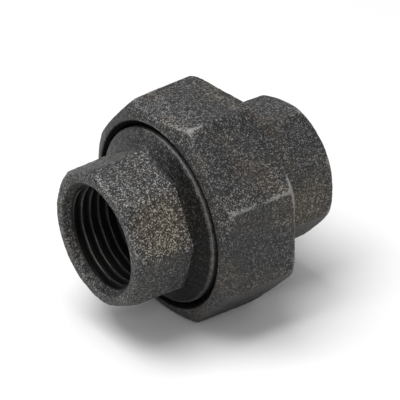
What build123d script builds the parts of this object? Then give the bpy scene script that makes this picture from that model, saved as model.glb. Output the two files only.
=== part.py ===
from build123d import *
import math
import os

os.makedirs("parts", exist_ok=True)

# A half-inch pipe union, female by female, in millimetres.
# The pipe axis is X. The head end is at +X, the tail end at -X, and the origin is the middle of the whole.
# The nut stands on one of its flats, which faces -Z.

# Overall sizes.
overall_length = 44.2
sides = 8
nut_flats = 40.7

# The two pipe ends, across the flats at the root, and the draft that narrows them towards the mouth.
tail_root_flats = 25.9
tail_draft = 2.0
head_root_flats = 25.9
head_draft = 0.4

# How far each octagon is turned about the pipe axis, from a flat that faces +Y.
nut_turned = 0.0
tail_turned = 20.0
head_turned = -3.0

# The pipe thread in both ends: Rp 1/2. A plain bore stands at its minor radius.
pipe_minor_r = 18.631 / 2
mouth_r = 10.6
thread_start = 2.0
thread_end = 15.0
passage_r = 8.8

# The union thread between the nut and the head end: G 1 1/8. Plain cylinders stand at its pitch radius.
union_pitch_r = 36.418 / 2
union_clearance = 0.05
thread_lead_in = 0.8

# The tail end's collar, which the nut's lip pulls on, and its ground nose.
hub_r = 16.6
hub_face = -8.8
hub_rim = 0.3
hub_slope = 1.7
shoulder_r = 17.4
shoulder_back = -6.1
shoulder_front = -3.5
nose_root_r = 15.6
nose_tip = 1.2
nose_tip_r = 11.0

# The union nut.
nut_front = -8.8
nut_back = 6.8
lip_r = 16.9
lip_mouth_r = 17.9
lip_face = -6.13
front_circle_r = 20.0
front_cone = 3.6
back_circle_r = 21.2
back_cone = 0.8

# The head end's barrel, its neck, and the pocket for its seat ring.
barrel_front = -2.8
barrel_back = 7.5
barrel_neck = 10.3
pocket_r = 15.3
pocket_floor = 3.0
pocket_lead_in = 0.6

# The brass seat ring, and its cone at 45 degrees.
ring_bore_r = 9.8
ring_front = -2.5
seat_gap = 0.03

# Rounding of the castings. A dome cuts the corners of each pipe end round at its mouth.
dome_mouth_r = 12.2
dome_turn_r = 12.8
dome_turn_depth = 0.5
dome_r = 14.2
dome_depth = 2.4
end_edge = 1.0
nut_corner_edge = 1.0
root_overlap = 0.4

half_length = overall_length / 2
corner_reach = 1 / math.cos(math.pi / sides)
corner_turn = 180 / sides


def turn(points, mode=Mode.ADD):
    """Turn a closed outline of (x, radius) points about the pipe axis."""
    with BuildSketch(Plane.XZ) as outline:
        with BuildLine():
            Polyline(*points, close=True)
        make_face()
    revolve(outline.sketch, axis=Axis.X, mode=mode)


def drafted_end(root, root_flats, draft, side, turned):
    """An octagonal pipe end, from its root to its mouth. side is -1 for the tail, 1 for the head."""
    with BuildSketch(Plane(origin=(root, 0, 0), x_dir=(0, side, 0), z_dir=(side, 0, 0))) as section:
        RegularPolygon(root_flats / 2, sides, major_radius=False, rotation=side * turned + corner_turn)
    extrude(section.sketch, amount=half_length - side * root, taper=draft)


def rounded_end(builder, side):
    """Round the long edges of a pipe end, then dome its mouth, which leaves a round rim."""
    long_edges = [edge for edge in builder.edges() if edge.bounding_box().size.X > end_edge]
    fillet(long_edges, radius=end_edge)
    root = builder.faces().sort_by(Axis.X)[0 if side > 0 else -1].center().X
    outline = [
        (side * half_length, 0),
        (side * half_length, dome_mouth_r),
        (side * (half_length - dome_turn_depth), dome_turn_r),
        (side * (half_length - dome_depth), dome_r),
        (root, dome_r),
        (root, 0),
    ]
    turn(outline, mode=Mode.INTERSECT)


def pipe_bore_outline(side):
    """The hollow of a threaded end, from mouth to passage. side is -1 for the tail, 1 for the head."""
    passage_start = thread_end + pipe_minor_r - passage_r
    points = [
        (0, 0),
        (0, mouth_r),
        (thread_start, pipe_minor_r),
        (thread_end, pipe_minor_r),
        (passage_start, passage_r),
        (passage_start, 0),
    ]
    return [(side * (half_length - depth), radius) for depth, radius in points]


# The nose and the seat are 45 degree cones that narrow towards +X.
# So at any point of either cone, the radius is the apex's x less that point's x.
nose_apex = nose_tip + nose_tip_r
seat_apex = nose_apex + seat_gap * math.sqrt(2)

# Tail end: an octagonal pipe end, a round collar that the nut's lip holds, and the ground nose.
with BuildPart() as tail_end:
    drafted_end(hub_face, tail_root_flats, tail_draft, -1, tail_turned)
    rounded_end(tail_end, -1)
    turn(
        [
            (hub_face - hub_slope, 0),
            (hub_face - hub_slope, tail_root_flats / 2 + root_overlap),
            (hub_face, hub_r - hub_rim),
            (hub_face + hub_rim, hub_r),
            (shoulder_back, hub_r),
            (shoulder_back, shoulder_r),
            (shoulder_front, shoulder_r),
            (shoulder_front, nose_root_r),
            (nose_apex - nose_root_r, nose_root_r),
            (nose_tip, nose_tip_r),
            (nose_tip, 0),
        ]
    )
    turn(pipe_bore_outline(-1), mode=Mode.SUBTRACT)
    with BuildSketch(Plane.YZ.offset(nose_tip)) as tail_passage:
        Circle(passage_r)
    extrude(amount=-half_length, mode=Mode.SUBTRACT)
tail_end.part.label = "tail_end"
export_step(tail_end.part, "parts/tail_end.step")

# Union nut: an octagon with coned corners, an inward lip in front and the union thread behind.
with BuildPart() as union_nut:
    with BuildSketch(Plane.YZ.offset(nut_front)) as nut_section:
        RegularPolygon(nut_flats / 2, sides, major_radius=False, rotation=nut_turned + corner_turn)
    extrude(amount=nut_back - nut_front)
    fillet(union_nut.edges().filter_by(Axis.X), radius=nut_corner_edge)
    corner_r = nut_flats / 2 * corner_reach
    turn(
        [
            (nut_front, 0),
            (nut_front, front_circle_r),
            (nut_front + front_cone, corner_r),
            (nut_back - back_cone, corner_r),
            (nut_back, back_circle_r),
            (nut_back, 0),
        ],
        mode=Mode.INTERSECT,
    )
    turn(
        [
            (nut_front, 0),
            (nut_front, lip_mouth_r),
            (nut_front + lip_mouth_r - lip_r, lip_r),
            (lip_face, lip_r),
            (lip_face, union_pitch_r + union_clearance),
            (nut_back - thread_lead_in, union_pitch_r + union_clearance),
            (nut_back, union_pitch_r + union_clearance + thread_lead_in),
            (nut_back, 0),
        ],
        mode=Mode.SUBTRACT,
    )
union_nut.part.label = "union_nut"
export_step(union_nut.part, "parts/union_nut.step")

# Head end: a threaded barrel that the nut screws onto, a seat pocket, a cone neck and a pipe end.
with BuildPart() as head_end:
    drafted_end(barrel_back, head_root_flats, head_draft, 1, head_turned)
    rounded_end(head_end, 1)
    turn(
        [
            (barrel_front, 0),
            (barrel_front, union_pitch_r - union_clearance - thread_lead_in),
            (barrel_front + thread_lead_in, union_pitch_r - union_clearance),
            (barrel_back, union_pitch_r - union_clearance),
            (barrel_neck, head_root_flats / 2 + root_overlap),
            (barrel_neck, 0),
        ]
    )
    turn(pipe_bore_outline(1), mode=Mode.SUBTRACT)
    turn(
        [
            (barrel_front, 0),
            (barrel_front, pocket_r + pocket_lead_in),
            (barrel_front + pocket_lead_in, pocket_r),
            (pocket_floor, pocket_r),
            (pocket_floor, 0),
        ],
        mode=Mode.SUBTRACT,
    )
    with BuildSketch(Plane.YZ.offset(barrel_front)) as head_passage:
        Circle(passage_r)
    extrude(amount=half_length, mode=Mode.SUBTRACT)
head_end.part.label = "head_end"
export_step(head_end.part, "parts/head_end.step")

# Seat ring: brass, pressed into the head end's pocket, with the cone that the nose is ground to.
with BuildPart() as brass_seat_ring:
    turn(
        [
            (ring_front, seat_apex - ring_front),
            (ring_front, pocket_r),
            (pocket_floor, pocket_r),
            (pocket_floor, ring_bore_r),
            (seat_apex - ring_bore_r, ring_bore_r),
        ]
    )
brass_seat_ring.part.label = "brass_seat_ring"
export_step(brass_seat_ring.part, "parts/brass_seat_ring.step")
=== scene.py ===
import math

import bpy
import numpy as np
from mathutils import Matrix, Vector


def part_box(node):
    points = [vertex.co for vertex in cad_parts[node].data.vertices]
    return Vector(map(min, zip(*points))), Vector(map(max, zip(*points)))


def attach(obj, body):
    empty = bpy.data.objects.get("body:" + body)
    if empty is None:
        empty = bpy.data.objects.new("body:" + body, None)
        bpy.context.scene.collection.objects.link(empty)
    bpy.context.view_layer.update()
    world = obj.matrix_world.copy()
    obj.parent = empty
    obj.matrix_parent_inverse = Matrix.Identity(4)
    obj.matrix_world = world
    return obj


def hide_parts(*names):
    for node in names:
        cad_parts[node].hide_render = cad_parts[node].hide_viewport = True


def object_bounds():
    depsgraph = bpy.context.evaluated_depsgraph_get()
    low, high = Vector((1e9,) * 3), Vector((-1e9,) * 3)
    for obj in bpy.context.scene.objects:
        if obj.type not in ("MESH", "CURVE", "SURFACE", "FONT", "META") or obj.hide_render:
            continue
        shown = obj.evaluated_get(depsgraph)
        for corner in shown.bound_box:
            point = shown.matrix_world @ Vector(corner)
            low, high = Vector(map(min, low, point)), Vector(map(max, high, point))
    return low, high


# A half-inch pipe union in black cast iron. The pipe axis is X, the tail end is at -X and the head end at +X.
# Shapes are worked out in millimetres and written to the meshes in metres.

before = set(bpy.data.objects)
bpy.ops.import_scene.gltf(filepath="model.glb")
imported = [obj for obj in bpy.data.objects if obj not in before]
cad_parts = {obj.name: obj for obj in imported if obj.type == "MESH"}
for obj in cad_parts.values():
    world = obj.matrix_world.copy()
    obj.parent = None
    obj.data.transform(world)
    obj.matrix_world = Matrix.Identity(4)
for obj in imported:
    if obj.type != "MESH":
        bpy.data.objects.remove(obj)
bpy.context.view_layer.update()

MM = 0.001

# How often a search along a ray halves its stretch.
SEARCH_STEPS = 26


def extent(node, axis):
    """The lowest and highest coordinate of a CAD node along one axis, in millimetres."""
    low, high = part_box(node)
    return low[axis] / MM, high[axis] / MM


TAIL_MOUTH, NOSE_TIP = extent("tail_end", 0)
BARREL_FRONT, HEAD_MOUTH = extent("head_end", 0)
NUT_FRONT, NUT_BACK = extent("union_nut", 0)
RING_FRONT, RING_BACK = extent("brass_seat_ring", 0)
NUT_APOTHEM = extent("union_nut", 1)[1]
SHOULDER_R = extent("tail_end", 1)[1]
RING_R = extent("brass_seat_ring", 1)[1]

# The octagons: half the width across the flats, how much it grows along the axis, and the turn of the flats.
OCTANT = math.pi / 4
TAIL_APOTHEM = 12.49
TAIL_DRAFT = math.tan(math.radians(2.0))
TAIL_TURNED = math.radians(20)
HEAD_APOTHEM = 12.85
HEAD_DRAFT = math.tan(math.radians(0.4))
HEAD_TURNED = math.radians(-3)
NUT_DRAFT = math.tan(math.radians(2.2))
END_CORNER = 1.3
NUT_CORNER = 1.2

# The pipe thread in both ends, right hand. Depths are behind the mouth.
PIPE_PITCH = 1.814
PIPE_MAJOR_R = 10.478
PIPE_MINOR_R = 9.316
FIRST_CREST = 3.6
THREAD_START = 1.6
THREAD_END = 15.6
MOUTH_R = 10.6
COUNTERSINK_SLOPE = 0.65
PASSAGE_R = 8.8

# The round rim that cuts each octagon's corners off at its mouth: its radius there and how fast it widens.
TAIL_RIM_R = 12.5
TAIL_RIM_SLOPE = 0.65
HEAD_RIM_R = 12.6
HEAD_RIM_SLOPE = 0.95

# The point inside each mouth's rim that its rings fan out from: how deep it lies, and its radius.
MOUTH_FAN = 1.3
MOUTH_FAN_R = 11.4

# The union thread between the nut and the head end's barrel, right hand, G 1 1/8.
UNION_PITCH = 2.309
UNION_MAJOR_R = 18.949
UNION_MINOR_R = 17.470
UNION_CLEARANCE = 0.06

# How much of a thread's depth its flanks overrun, which leaves its crests and roots flat.
FLANK_OVERRUN = 1.3

# The tail end's collar and nose.
HUB_R = 16.6
HUB_FACE = -8.8
HUB_SLOPE = 1.9
SHOULDER_BACK = -6.1
SHOULDER_FRONT = -3.5
NOSE_ROOT_R = 15.6
NOSE_TIP_R = 11.0

# The nut's lip, domed front, back corners and relief, the head end's neck and pocket, and the seat ring.
LIP_R = 16.95
LIP_MOUTH_R = 17.9
DOME_START_R = 17.5
DOME_WIDTH = 2.5
DOME_CURVE = 1.7
BACK_CONE_R = 21.3
LIP_FACE = -6.13
RELIEF_R = 17.6
RELIEF_END = -4.6
BARREL_BACK = 7.5
NECK_END = 10.3
POCKET_FLOOR = 3.0
RING_BORE_R = 9.8
RING_FACE_R = 14.74


# ---------------------------------------------------------------- shape functions

def rounded(a, b, radius):
    """The larger of two distances, with the edge where they are equal rounded off."""
    inner = np.minimum(np.maximum(a, b), -radius)
    return inner + np.hypot(np.maximum(a + radius, 0), np.maximum(b + radius, 0))


def blended(a, b, width):
    """The larger of two radii, with the crease where they are equal filled in."""
    share = np.clip(0.5 + (a - b) / (2 * width), 0, 1)
    return b + (a - b) * share + width * share * (1 - share)


def octagon_r(theta, apothem, turned, corner):
    """The radius of an octagon with rounded corners, at the angle theta about the axis."""
    off = np.abs((theta - turned + OCTANT / 2) % OCTANT - OCTANT / 2)
    centre_r = (apothem - corner) / math.cos(OCTANT / 2)
    tangent = np.arctan((apothem - corner) * math.tan(OCTANT / 2) / apothem)
    across = OCTANT / 2 - off
    reach = np.maximum(corner ** 2 - (centre_r * np.sin(across)) ** 2, 0)
    return np.where(off < tangent, apothem / np.cos(off), centre_r * np.cos(across) + np.sqrt(reach))


def thread_r(x, theta, pitch, major_r, minor_r, crest_x):
    """The radius of a right-hand thread with a ridge inwards at crest_x, where theta is 0."""
    turns = (x - crest_x) / pitch - theta / (2 * math.pi)
    wave = 4 * np.abs(turns - np.round(turns)) - 1
    return (major_r + minor_r) / 2 + (major_r - minor_r) / 2 * np.clip(FLANK_OVERRUN * wave, -1, 1)


def lattice(points, size, seed):
    """Smooth random values from 0 to 1 at points, with bumps of one size. A seed gives the same ones."""
    at = points / size
    corner = np.floor(at).astype(np.int64)
    part = at - corner
    part = part * part * (3 - 2 * part)
    total = np.zeros(points.shape[:-1])
    for step in np.ndindex(2, 2, 2):
        cell = corner + np.array(step)
        key = cell[..., 0] * 73856093 ^ cell[..., 1] * 19349663 ^ cell[..., 2] * 83492791 ^ seed * 2654435761
        key = (key ^ key >> 13) * 1274126177 & 0xFFFFFFFF
        value = (key ^ key >> 16) / 0xFFFFFFFF % 1.0
        weight = np.prod(np.where(np.array(step), part, 1 - part), axis=-1)
        total += value * weight
    return total


# ---------------------------------------------------------------- rings of points

class Rings:
    """A closed surface round the pipe axis, as rings of points. Each ring has its x and its radius all round.
    It also has how cast its skin is, and how much painted shade it carries, each from 0 to 1."""

    def __init__(self, around):
        self.theta = np.arange(around) * 2 * math.pi / around
        self.x, self.r, self.cast, self.painted_shade = [], [], [], []

    def along(self, x_values, radius, cast=0.0, painted_shade=0.0):
        """One ring at each x. radius(x, theta) gives its radius, and the painted shade may be a function of
        the radius.
        """
        for x in x_values:
            r = radius(x, self.theta) + 0 * self.theta
            self.add(np.full_like(self.theta, x), r, cast, painted_shade(r) if callable(painted_shade) else painted_shade)

    def turned(self, points, step, cast=0.0, painted_shade=0.0):
        """Rings along straight lines between (x, radius) points, no further apart than step."""
        for (x0, r0), (x1, r1) in zip(points, points[1:]):
            count = max(1, math.ceil(math.hypot(x1 - x0, r1 - r0) / step))
            for share in np.arange(count) / count:
                self.along([x0 + (x1 - x0) * share], lambda x, t: r0 + (r1 - r0) * share, cast, painted_shade)

    def around_edge(self, outside, centre, start, end, count, cast=1.0, painted_shade=0.0):
        """Rings where rays from centre, an (x, radius) in the solid, come out. Angles are in degrees."""
        for angle in np.radians(np.linspace(start, end, count)):
            near = np.zeros_like(self.theta)
            far = np.full_like(self.theta, 6.0)
            for _ in range(SEARCH_STEPS):
                middle = (near + far) / 2
                x = centre[0] + middle * math.cos(angle)
                r = centre[1] + middle * math.sin(angle)
                is_out = outside(x, r, self.theta) > 0
                far = np.where(is_out, middle, far)
                near = np.where(is_out, near, middle)
            self.add(x, r, cast, painted_shade(r) if callable(painted_shade) else painted_shade)

    def add(self, x, r, cast, painted_shade):
        self.x.append(x)
        self.r.append(r)
        self.cast.append(cast + 0 * self.theta)
        self.painted_shade.append(painted_shade + 0 * self.theta)

    def points(self):
        x, r = np.array(self.x), np.array(self.r)
        return np.stack([x, r * np.cos(self.theta), r * np.sin(self.theta)], axis=-1)


def surface_normals(points):
    """The outward normals of a grid of points."""
    along = np.roll(points, -1, 0) - np.roll(points, 1, 0)
    around = np.roll(points, -1, 1) - np.roll(points, 1, 1)
    normals = np.cross(around, along)
    return normals / np.maximum(np.linalg.norm(normals, axis=-1, keepdims=True), 1e-12)


def edge_strength(points, normals, reach):
    """How far each point stands out from its neighbours: over 0 on an outer edge, under 0 in a crease."""
    near = sum(np.roll(points, shift, axis) for axis in (0, 1) for shift in (-reach, reach)) / 4
    return np.sum((points - near) * normals, axis=-1)


def casting_skin(points, seed):
    """How far a sand-cast skin lies below its ideal surface, in millimetres."""
    swell = 0.06 * lattice(points, 5.0, seed)
    lumps = 0.04 * lattice(points, 1.3, seed + 1)
    grain = 0.07 * lattice(points, 0.55, seed + 2)
    return swell + lumps + grain


def patch_strength(points, patches):
    """How far each point lies in a patch. It is 1 inside one patch, and up to 1.5 where patches overlap.
    A patch is its x, its angle in degrees, its radius and its width."""
    total = np.zeros(points.shape[:-1])
    for x, angle, radius, width in patches:
        turn = math.radians(angle)
        centre = np.array([x, radius * math.cos(turn), radius * math.sin(turn)])
        total += np.exp(-(np.sum((points - centre) ** 2, axis=-1) / width ** 2) ** 2)
    return np.minimum(total, 1.5)


def make_piece(name, rings, body, material, seed, brown=(), wear_and_highlight=()):
    """A mesh from the rings, with a cast skin where they are cast, brown patches, and patches of edge wear
    that are partly painted highlight. It also carries the rings' painted shade and how far each point faces
    upwards, for painted top light.
    """
    points = rings.points()
    normals = surface_normals(points)
    layers = {"brown": patch_strength(points, brown), "wear_and_highlight": patch_strength(points, wear_and_highlight)}
    # Painted shade: dark put into the colour of countersinks, thread grooves, the gap by the nut's lip and
    # the hub, where shade falls.
    layers["painted_shade"] = np.array(rings.painted_shade)
    # How far each point faces upwards, which makes specks lighter on top as painted top light.
    layers["up"] = normals[..., 2] / 2 + 0.5
    cast = np.array(rings.cast)
    edge = edge_strength(points, normals, 2)
    points = points - normals * (casting_skin(points, seed) * cast)[..., None]
    rows, around = cast.shape
    ring = np.arange(rows)[:, None]
    spot = np.arange(around)[None, :]
    next_ring = (ring + 1) % rows
    next_spot = (spot + 1) % around
    corners = [ring * around + spot, ring * around + next_spot]
    corners += [next_ring * around + next_spot, next_ring * around + spot]
    faces = np.stack([c + 0 * ring for c in corners], axis=-1).reshape(-1, 4)
    mesh = bpy.data.meshes.new(name)
    mesh.from_pydata((points.reshape(-1, 3) * MM).tolist(), [], faces.tolist())
    mesh.polygons.foreach_set("use_smooth", [True] * len(faces))
    for label, values in {"cast": cast, "edge": edge, **layers}.items():
        layer = mesh.attributes.new(label, "FLOAT", "POINT")
        layer.data.foreach_set("value", values.ravel().astype(np.float32))
    mesh.materials.append(material)
    mesh.update()
    piece = bpy.data.objects.new(name, mesh)
    bpy.context.scene.collection.objects.link(piece)
    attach(piece, body)
    return piece


def steps(start, end, size):
    """Even steps from start up to, but not including, end."""
    count = max(1, math.ceil(abs(end - start) / size))
    return start + (end - start) * np.arange(count) / count


# ---------------------------------------------------------------- the two pipe ends

def end_bore(depth, theta, crest_depth, side):
    """The radius of a pipe end's hollow at a depth behind its mouth: countersink, thread, passage."""
    countersink = MOUTH_R - COUNTERSINK_SLOPE * depth
    thread = thread_r(depth, -side * theta, PIPE_PITCH, PIPE_MAJOR_R, PIPE_MINOR_R, crest_depth)
    run_in = PIPE_MINOR_R + 2.2 * np.maximum(depth - THREAD_START, 0)
    run_out = PIPE_MAJOR_R - 1.2 * np.maximum(depth - THREAD_END, 0)
    return np.maximum(PASSAGE_R, blended(countersink, np.minimum(np.minimum(thread, run_in), run_out), 0.1))


def mouth_painted_shade(r):
    """Painted shade in the countersink, which is darker than the face round it."""
    return 0.4 * np.clip((MOUTH_R + 0.1 - r) / 0.3, 0, 1)


def groove_painted_shade(r):
    """Painted shade deep in the thread grooves; the crests, which stand inward, stay unshaded."""
    return 0.8 * np.clip((r - PIPE_MINOR_R - 0.05) / 0.15, 0, 1)


def end_outside(depth, r, theta, flats_r, dome_r, side):
    """How far a point is outside a pipe end, at a depth behind its mouth. side is -1 for the tail.
    flats_r is the octagon's radius there, and dome_r is the round rim that cuts its corners off."""
    body = rounded(rounded(r - flats_r, (r - dome_r) * 0.8, 0.4), -depth, 0.45)
    bore = end_bore(np.maximum(depth, 0), theta, FIRST_CREST, side) - r
    return rounded(body, bore, 0.3)


def tail_dome(x):
    """The round rim that cuts the corners of the tail end's octagon near its mouth."""
    return TAIL_RIM_R + TAIL_RIM_SLOPE * (x - TAIL_MOUTH)


def head_dome(x):
    """The same on the head end."""
    return HEAD_RIM_R + HEAD_RIM_SLOPE * (HEAD_MOUTH - x)


def tail_end_rings():
    rings = Rings(400)
    centre = (TAIL_MOUTH + MOUTH_FAN, MOUTH_FAN_R)

    def flats(x, theta):
        return octagon_r(theta, TAIL_APOTHEM + TAIL_DRAFT * (x - TAIL_MOUTH), TAIL_TURNED, END_CORNER)

    def outside(x, r, theta):
        return end_outside(x - TAIL_MOUTH, r, theta, flats(x, theta), tail_dome(x), -1)

    def flats_and_hub(x, theta):
        slope = HUB_R - (HUB_FACE - x) * (HUB_R - TAIL_APOTHEM) / HUB_SLOPE
        return blended(flats(x, theta), np.minimum(slope, HUB_R), 0.8)

    def domed_flats(x, theta):
        return np.minimum(flats_and_hub(x, theta), tail_dome(x))

    rings.around_edge(outside, centre, 270, 90, 28, 1.0, mouth_painted_shade)
    slope_start = HUB_FACE - HUB_SLOPE
    rings.along(steps(centre[0] + 0.15, slope_start, 0.22), domed_flats, 1.0)
    # Painted shadow on the hub's slope, strongest round 185 degrees, where the octagon shades it.
    hub_painted_shadow = 0.15 + 0.6 * np.clip(1.6 * np.cos(rings.theta - math.radians(185)) + 0.1, 0, 1)
    rings.along(steps(slope_start, HUB_FACE - 0.15, 0.11), flats_and_hub, 0.6, hub_painted_shadow)
    # The hub's rim by the gap gets a little painted shade.
    rings.turned(
        [
            (HUB_FACE - 0.12, HUB_R - 0.30),
            (HUB_FACE, HUB_R - 0.16),
            (HUB_FACE + 0.25, HUB_R),
        ],
        step=0.2,
        cast=0.3,
        painted_shade=0.1,
    )
    rings.turned(
        [
            (HUB_FACE + 0.25, HUB_R),
            (SHOULDER_BACK, HUB_R),
            (SHOULDER_BACK, SHOULDER_R),
            (SHOULDER_FRONT, SHOULDER_R),
            (SHOULDER_FRONT, NOSE_ROOT_R),
            (NOSE_TIP + NOSE_TIP_R - NOSE_ROOT_R, NOSE_ROOT_R),
            (NOSE_TIP - 0.15, NOSE_TIP_R + 0.15),
            (NOSE_TIP, NOSE_TIP_R),
            (NOSE_TIP, PASSAGE_R + 0.3),
            (NOSE_TIP - 0.3, PASSAGE_R),
            (TAIL_MOUTH + THREAD_END + 1.6, PASSAGE_R),
        ],
        0.7,
    )

    def bore(x, theta):
        return end_bore(x - TAIL_MOUTH, theta, FIRST_CREST, -1)

    rings.along(steps(TAIL_MOUTH + THREAD_END + 1.6, centre[0] + 0.1, 0.165), bore, 0.0, groove_painted_shade)
    return rings


def head_end_rings():
    rings = Rings(360)
    centre = (HEAD_MOUTH - MOUTH_FAN, MOUTH_FAN_R)

    def flats(x, theta):
        return octagon_r(theta, HEAD_APOTHEM + HEAD_DRAFT * (HEAD_MOUTH - x), HEAD_TURNED, END_CORNER)

    def outside(x, r, theta):
        return end_outside(HEAD_MOUTH - x, r, theta, flats(x, theta), head_dome(x), 1)

    def barrel(x, theta):
        thread = thread_r(
            x, theta, UNION_PITCH, UNION_MAJOR_R - UNION_CLEARANCE, UNION_MINOR_R - UNION_CLEARANCE, 0
        )
        lead_in = UNION_MINOR_R - 0.5 + 1.2 * (x - BARREL_FRONT)
        run_out = UNION_MINOR_R - UNION_CLEARANCE + 1.5 * np.maximum(BARREL_BACK - 0.6 - x, 0)
        return np.minimum(thread, np.minimum(lead_in, run_out))

    def neck_and_flats(x, theta):
        slope = UNION_MINOR_R - UNION_CLEARANCE - (x - BARREL_BACK) * 1.75
        return np.minimum(blended(flats(x, theta), slope, 0.7), head_dome(x))

    rings.turned(
        [
            (BARREL_FRONT + 0.5, RING_R),
            (BARREL_FRONT, RING_R + 0.5),
            (BARREL_FRONT, UNION_MINOR_R - 0.5),
        ],
        0.5,
    )
    rings.along(steps(BARREL_FRONT, BARREL_BACK, 0.16), barrel)
    rings.along(steps(BARREL_BACK, NECK_END, 0.16), neck_and_flats, 0.8)
    rings.along(steps(NECK_END, centre[0] - 0.2, 0.24), neck_and_flats, 1.0)
    rings.around_edge(outside, centre, 90, -90, 28, 1.0, mouth_painted_shade)

    def bore(x, theta):
        return end_bore(HEAD_MOUTH - x, theta, FIRST_CREST, 1)

    rings.along(steps(centre[0] - 0.1, HEAD_MOUTH - THREAD_END - 1.6, 0.18), bore, 0.0, groove_painted_shade)
    rings.turned(
        [
            (HEAD_MOUTH - THREAD_END - 1.6, PASSAGE_R),
            (POCKET_FLOOR, PASSAGE_R),
            (POCKET_FLOOR, RING_R),
            (BARREL_FRONT + 0.5, RING_R),
        ],
        0.8,
    )
    return rings


# ---------------------------------------------------------------- the union nut

def nut_bore(x, theta):
    """The radius of the nut's hollow behind its lip: the relief, the union thread and its lead-in."""
    thread = thread_r(
        x, theta, UNION_PITCH, UNION_MAJOR_R + UNION_CLEARANCE, UNION_MINOR_R + UNION_CLEARANCE, 0
    )
    lead_in = UNION_MAJOR_R + 0.25 - 1.0 * (NUT_BACK - x)
    relief = RELIEF_R + 1.0 * np.maximum(x - RELIEF_END, 0)
    return np.maximum(np.minimum(thread, relief), lead_in)


def nut_outside(x, r, theta):
    """How far a point is outside the nut: its flats, its domed front, its back, its lip and its thread."""
    apothem = NUT_APOTHEM - NUT_DRAFT * (NUT_BACK - x)
    flats = r - octagon_r(theta, apothem, 0.0, NUT_CORNER)
    rise = np.maximum(r - DOME_START_R, 0) / DOME_WIDTH
    dome = (NUT_FRONT + rise ** DOME_CURVE - x) * 0.9
    corner_cone = (x - NUT_BACK + (r - BACK_CONE_R)) * 0.7
    back = rounded(x - NUT_BACK, corner_cone, 0.3)
    body = rounded(rounded(flats, dome, 0.5), back, 0.45)
    lip = np.where(x < LIP_FACE, LIP_R + 1.2 * np.maximum(NUT_FRONT + 0.8 - x, 0), nut_bore(x, theta)) - r
    return rounded(body, lip, 0.2)


def lip_painted_shade(r):
    """Painted shade on the nut's lip where it faces the gap."""
    return np.clip((LIP_MOUTH_R + 0.1 - r) / 0.3, 0, 1)


def union_nut_rings():
    rings = Rings(480)
    front = (NUT_FRONT + 1.7, 18.3)
    back = (NUT_BACK - 0.9, 19.5)

    def flats(x, theta):
        near = np.full_like(theta, 18.5)
        far = np.full_like(theta, 24.0)
        for _ in range(SEARCH_STEPS):
            middle = (near + far) / 2
            is_out = nut_outside(x, middle, theta) > 0
            far = np.where(is_out, middle, far)
            near = np.where(is_out, near, middle)
        return middle

    rings.around_edge(nut_outside, front, 270, 90, 32, 1.0, lip_painted_shade)
    rings.along(steps(front[0] + 0.1, back[0], 0.24), flats, 1.0)
    rings.around_edge(nut_outside, back, 90, -90, 20)
    rings.along(steps(back[0] - 0.1, RELIEF_END, 0.16), nut_bore)
    relief = [(RELIEF_END, RELIEF_R), (LIP_FACE, RELIEF_R), (LIP_FACE, LIP_R), (front[0] + 0.05, LIP_R)]
    # The relief inside the nut's lip is painted fully in shade.
    rings.turned(relief, step=0.5, painted_shade=1.0)
    return rings


def seat_ring_rings():
    rings = Rings(256)
    seat_apex = RING_FRONT + RING_FACE_R
    rings.turned(
        [
            (seat_apex - RING_BORE_R, RING_BORE_R),
            (RING_FRONT + 0.1, RING_FACE_R - 0.1),
            (RING_FRONT, RING_FACE_R),
            (RING_FRONT, RING_R - 0.15),
            (RING_FRONT + 0.15, RING_R),
            (RING_BACK - 0.2, RING_R),
            (RING_BACK, RING_R - 0.2),
            (RING_BACK, RING_BORE_R + 0.15),
            (RING_BACK - 0.15, RING_BORE_R),
            (seat_apex - RING_BORE_R, RING_BORE_R),
        ],
        0.35,
    )
    return rings


# ---------------------------------------------------------------- materials

class Shader:
    """Builds one material's node tree. Every method returns an output socket."""

    def __init__(self, name):
        self.material = bpy.data.materials.new(name)
        self.material.use_nodes = True
        self.tree = self.material.node_tree
        self.bsdf = self.tree.nodes["Principled BSDF"]
        self.place = self.tree.nodes.new("ShaderNodeTexCoord").outputs["Object"]

    def feed(self, socket, value):
        if isinstance(value, bpy.types.NodeSocket):
            self.tree.links.new(value, socket)
        else:
            socket.default_value = value

    def noise(self, size_mm, detail=2.0, roughness=0.5, distortion=0.0):
        node = self.tree.nodes.new("ShaderNodeTexNoise")
        self.feed(node.inputs["Vector"], self.place)
        node.inputs["Scale"].default_value = 1 / (size_mm * MM)
        node.inputs["Detail"].default_value = detail
        node.inputs["Roughness"].default_value = roughness
        node.inputs["Distortion"].default_value = distortion
        return node.outputs["Fac"]

    def attribute(self, name):
        node = self.tree.nodes.new("ShaderNodeAttribute")
        node.attribute_name = name
        return node.outputs["Fac"]

    def math(self, operation, a, b=0.0, c=0.0):
        node = self.tree.nodes.new("ShaderNodeMath")
        node.operation = operation
        for socket, value in zip(node.inputs, (a, b, c)):
            self.feed(socket, value)
        return node.outputs[0]

    def ramp(self, value, low, high, to_low=0.0, to_high=1.0):
        node = self.tree.nodes.new("ShaderNodeMapRange")
        node.interpolation_type = "SMOOTHSTEP"
        for socket, setting in zip(node.inputs, (value, low, high, to_low, to_high)):
            self.feed(socket, setting)
        return node.outputs[0]

    def mix(self, share, a, b):
        node = self.tree.nodes.new("ShaderNodeMix")
        node.data_type = "RGBA"
        self.feed(node.inputs[0], share)
        self.feed(node.inputs[6], a if isinstance(a, bpy.types.NodeSocket) else (*a, 1))
        self.feed(node.inputs[7], b if isinstance(b, bpy.types.NodeSocket) else (*b, 1))
        return node.outputs[2]

    def bump(self, height, strength, distance_mm, normal=None):
        node = self.tree.nodes.new("ShaderNodeBump")
        node.inputs["Distance"].default_value = distance_mm * MM
        self.feed(node.inputs["Strength"], strength)
        self.feed(node.inputs["Height"], height)
        if normal is not None:
            self.feed(node.inputs["Normal"], normal)
        return node.outputs["Normal"]


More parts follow.
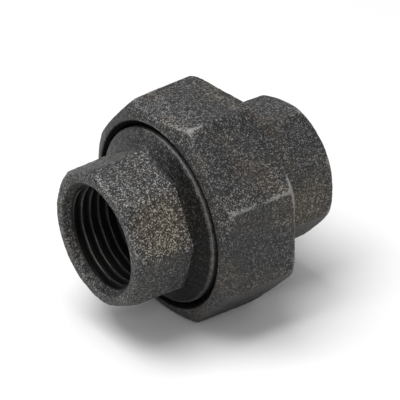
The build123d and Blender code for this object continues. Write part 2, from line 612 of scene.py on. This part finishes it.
def cast_iron(name, grain_light, warmth):
    """Black scale on sand-cast iron: light specks, brown patches, smoother turned faces, and worn edges that
    are partly painted highlight. Painted shade darkens creases and shaded hollows, and painted top light
    makes the specks lighter on upward faces.
    """
    s = Shader(name)
    cast = s.attribute("cast")
    edge = s.attribute("edge")
    painted_shade = s.attribute("painted_shade")
    brown = s.attribute("brown")
    wear_and_highlight = s.attribute("wear_and_highlight")
    fine = s.noise(0.26, 1.0, 0.6)
    coarse = s.noise(0.8, 2.0, 0.6)
    patches = s.noise(5.0, 3.0, 0.55)
    warm_patches = s.noise(7.5, 2.0, 0.5)
    warm = s.math("MAXIMUM", s.math("MULTIPLY", s.ramp(warm_patches, 0.42, 0.66), warmth), brown)
    grain = s.math("ADD", s.math("MULTIPLY", fine, 0.7), s.math("MULTIPLY", coarse, 0.3))
    light = s.math("MULTIPLY_ADD", brown, 0.4, s.math("MULTIPLY_ADD", wear_and_highlight, 0.2, grain_light))
    # Painted top light: the specks are lighter on upward faces and dimmer on downward ones.
    painted_top_light = s.math("MULTIPLY", light, s.math("MULTIPLY_ADD", s.attribute("up"), 0.7, 0.3))
    specks = s.math("MULTIPLY", s.math("MULTIPLY", s.ramp(grain, 0.47, 0.70), cast), painted_top_light)
    scale_colour = s.mix(s.ramp(patches, 0.35, 0.65), (0.012, 0.0123, 0.0123), (0.018, 0.0183, 0.0183))
    scale_colour = s.mix(s.math("MULTIPLY", warm, 0.8), scale_colour, (0.036, 0.029, 0.023))
    speck_colour = s.mix(warm, (0.34, 0.34, 0.34), (0.44, 0.39, 0.31))
    colour = s.mix(specks, scale_colour, speck_colour)
    wear_noise = s.noise(1.1, 3.0, 0.65)
    # Light grey edges: real edge wear on outer edges, made stronger in the patches, which are partly a
    # painted highlight where edges catch the light.
    rubbed_and_highlighted = s.math("MULTIPLY", edge, s.math("MULTIPLY_ADD", wear_and_highlight, 5.0, 2.0))
    chipped = s.math("ADD", s.math("MULTIPLY", wear_noise, 0.8), s.math("MULTIPLY", fine, 1.0))
    wear_and_highlight_mask = s.ramp(s.math("ADD", rubbed_and_highlighted, chipped), 1.08, 1.50)
    wear_and_highlight_mask = s.math("MULTIPLY", wear_and_highlight_mask, s.math("MULTIPLY_ADD", cast, 0.7, 0.3))
    colour = s.mix(s.math("MULTIPLY", wear_and_highlight_mask, 0.8), colour, (0.26, 0.25, 0.24))
    # Painted shade: creases and the painted shade layer turn the colour nearly black, and the shaded parts
    # lose their specular shine.
    crease = s.ramp(edge, -0.10, -0.01, 0.6, 0.0)
    colour = s.mix(s.math("MAXIMUM", crease, painted_shade), colour, (0.002, 0.002, 0.002))
    shine = s.math("MULTIPLY_ADD", painted_shade, -0.26, 0.28)
    s.feed(s.bsdf.inputs["Base Color"], colour)
    s.feed(s.bsdf.inputs["Specular IOR Level"], shine)
    rough = s.math("ADD", s.math("MULTIPLY", cast, 0.16), s.ramp(patches, 0.3, 0.7, 0.36, 0.48))
    s.feed(s.bsdf.inputs["Roughness"], rough)
    soft = s.bump(coarse, s.math("MULTIPLY", cast, 0.9), 0.22)
    s.feed(s.bsdf.inputs["Normal"], s.bump(fine, s.math("MULTIPLY_ADD", cast, 0.6, 0.12), 0.09, soft))
    return s.material


def turned_brass(name):
    """Turned brass with fine rings round the axis and a little tarnish."""
    s = Shader(name)
    tarnish = s.noise(3.0, 3.0, 0.6)
    colour = s.mix(s.ramp(tarnish, 0.35, 0.7), (0.72, 0.50, 0.20), (0.46, 0.31, 0.13))
    s.feed(s.bsdf.inputs["Base Color"], colour)
    s.feed(s.bsdf.inputs["Metallic"], 1.0)
    s.feed(s.bsdf.inputs["Roughness"], s.ramp(tarnish, 0.3, 0.7, 0.24, 0.40))
    wave = s.tree.nodes.new("ShaderNodeTexWave")
    wave.bands_direction = "X"
    wave.inputs["Scale"].default_value = 1 / (0.9 * MM)
    wave.inputs["Distortion"].default_value = 0.6
    s.feed(wave.inputs["Vector"], s.place)
    s.feed(s.bsdf.inputs["Normal"], s.bump(wave.outputs["Fac"], 0.35, 0.02))
    return s.material


def plain(name, colour, roughness):
    s = Shader(name)
    s.feed(s.bsdf.inputs["Base Color"], (*colour, 1))
    s.feed(s.bsdf.inputs["Roughness"], roughness)
    return s.material


# ---------------------------------------------------------------- floor, light and camera

def make_floor():
    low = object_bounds()[0]
    bpy.ops.mesh.primitive_plane_add(size=4.0, location=(0, 0, low.z))
    floor = bpy.context.object
    floor.name = "floor"
    floor.data.materials.append(plain("pale_floor", (0.86, 0.86, 0.86), 0.9))


def soft_light(name, place, size, watts):
    """A square soft box at place, in metres, that faces the union."""
    data = bpy.data.lights.new(name, "AREA")
    data.size = size
    data.energy = watts
    light = bpy.data.objects.new(name, data)
    light.location = place
    light.rotation_euler = (-Vector(place)).to_track_quat("-Z", "Y").to_euler()
    bpy.context.scene.collection.objects.link(light)


def make_light():
    world = bpy.data.worlds.new("studio")
    world.use_nodes = True
    background = world.node_tree.nodes["Background"]
    background.inputs["Color"].default_value = (1, 1, 1, 1)
    background.inputs["Strength"].default_value = 0.42
    bpy.context.scene.world = world
    soft_light("key", (-0.15, 0.05, 0.60), 0.45, 3.9)
    soft_light("front", (-0.28, -0.40, 0.34), 0.14, 0.5)


def make_camera():
    """A long lens, above and in front of the tail end."""
    azimuth, elevation, roll = map(math.radians, (-35.8, 29.8, -2.14))
    distance = 0.3338
    target = Vector((-0.001, 0, 0))
    level = math.cos(elevation)
    back = Vector((math.sin(azimuth) * level, -math.cos(azimuth) * level, math.sin(elevation)))
    right = Vector((math.cos(azimuth), math.sin(azimuth), 0))
    up = back.cross(right)
    rolled_right = right * math.cos(roll) + up * math.sin(roll)
    rolled_up = up * math.cos(roll) - right * math.sin(roll)
    data = bpy.data.cameras.new("camera")
    data.sensor_width = 36
    data.lens = 165.96
    data.shift_x = 0.0219
    data.shift_y = 0.0048
    data.clip_start = 0.01
    camera = bpy.data.objects.new("camera", data)
    turn = Matrix((rolled_right, rolled_up, back)).transposed().to_4x4()
    camera.matrix_world = Matrix.Translation(target + back * distance) @ turn
    bpy.context.scene.collection.objects.link(camera)
    bpy.context.scene.camera = camera


# ---------------------------------------------------------------- everything together

make_camera()
bpy.context.scene.view_settings.view_transform = "Standard"

tail_end = make_piece(
    "tail_end_casting",
    tail_end_rings(),
    "tail",
    cast_iron("tail_iron", 0.85, 0.3),
    11,
    brown=[(-15.5, 155, 12.6, 6.0)],
    # Edge wear patches, partly painted highlight on edges that catch the light.
    wear_and_highlight=[
        (-22.0, 112, 12.4, 4.5),
        (-22.0, 165, 12.4, 3.5),
        (-22.0, 25, 12.4, 6.0),
        (-22.0, 315, 12.4, 6.0),
        (-9.0, 100, 16.4, 6.0),
        (-9.0, 140, 16.4, 6.0),
        (-9.0, 180, 16.4, 6.0),
    ],
)
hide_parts("tail_end")

head_end = make_piece(
    "head_end_casting",
    head_end_rings(),
    "head",
    cast_iron("head_iron", 0.52, 0.5),
    23,
    brown=[(15.0, 185, 13.0, 6.0)],
    # Edge wear patches, partly painted highlight on edges that catch the light.
    wear_and_highlight=[(22.0, 90, 12.6, 6.0), (22.0, 180, 12.6, 6.0)],
)
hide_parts("head_end")

union_nut = make_piece(
    "union_nut_casting",
    union_nut_rings(),
    "nut",
    cast_iron("nut_iron", 0.52, 0.6),
    37,
    # Edge wear patches, partly painted highlight on edges that catch the light.
    wear_and_highlight=[
        (-7.5, 78, 20.6, 5.0),
        (-7.5, 95, 20.6, 6.0),
        (-7.5, 100, 20.6, 4.5),
        (-6.8, 108, 21.2, 3.5),
        (-5.5, 157.5, 21.5, 4.5),
        (4.0, 157.5, 21.5, 4.0),
        (6.5, 180, 20.4, 8.0),
    ],
)
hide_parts("union_nut")

seat_ring = make_piece("seat_ring_turned", seat_ring_rings(), "head", turned_brass("seat_ring_brass"), 41)
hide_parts("brass_seat_ring")

make_floor()
make_light()
